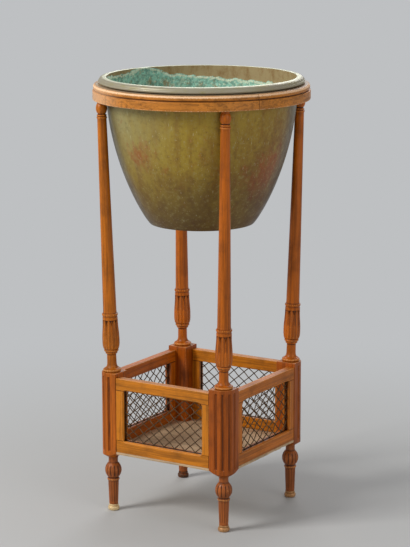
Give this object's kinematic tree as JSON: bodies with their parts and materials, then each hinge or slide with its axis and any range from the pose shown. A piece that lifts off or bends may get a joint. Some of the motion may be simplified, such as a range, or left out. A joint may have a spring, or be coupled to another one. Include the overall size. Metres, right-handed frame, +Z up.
{
  "type": "jardiniere on stand",
  "caption": "Round metal planter bowl in a wooden ring on leaning turned columns, above a low square box with crossed-wire grille sides and turned feet.",
  "frame": {"origin": "on the floor, under the middle of the stand", "axes": "+Z up; the box's sides face along X and Y"},
  "size_m": [0.4496, 0.4496, 0.919],
  "materials": {
    "wood": "waxed, satin",
    "worn_wood": "waxed, worn along the edges",
    "board": "bare, dull",
    "copper": "old brown-green patina over copper and brass",
    "brass": "satin",
    "wire": "darkened wire"
  },
  "bodies": {
    "stand": {"ferrule_front": "brass", "foot_front": "wood", "post_front": "wood", "column_front": "wood", "ring_segment_front": "worn_wood", "ring_tongue_front": "wood", "ferrule_right": "brass", "foot_right": "wood", "post_right": "wood", "column_right": "wood", "ring_segment_right": "worn_wood", "ring_tongue_right": "wood", "ferrule_back": "brass", "foot_back": "wood", "post_back": "wood", "column_back": "wood", "ring_segment_back": "worn_wood", "ring_tongue_back": "wood", "ferrule_left": "brass", "foot_left": "wood", "post_left": "wood", "column_left": "wood", "ring_segment_left": "worn_wood", "ring_tongue_left": "wood", "top_rail_front_left": "wood", "bottom_rail_front_left": "wood", "stile_front_left_a": "wood", "stile_front_left_b": "wood", "grille_front_left": "wire", "top_rail_front_right": "wood", "bottom_rail_front_right": "wood", "stile_front_right_a": "wood", "stile_front_right_b": "wood", "grille_front_right": "wire", "top_rail_back_right": "wood", "bottom_rail_back_right": "wood", "stile_back_right_a": "wood", "stile_back_right_b": "wood", "grille_back_right": "wire", "top_rail_back_left": "wood", "bottom_rail_back_left": "wood", "stile_back_left_a": "wood", "stile_back_left_b": "wood", "grille_back_left": "wire", "bottom_board": "board"},
    "bowl": {"bowl": "copper"}
  },
  "joints": [
    {"name": "bowl_lift", "type": "slide", "parent": "stand", "child": "bowl", "axis": [0, 0, 1], "range_m": [0, 0.32]}
  ]
}
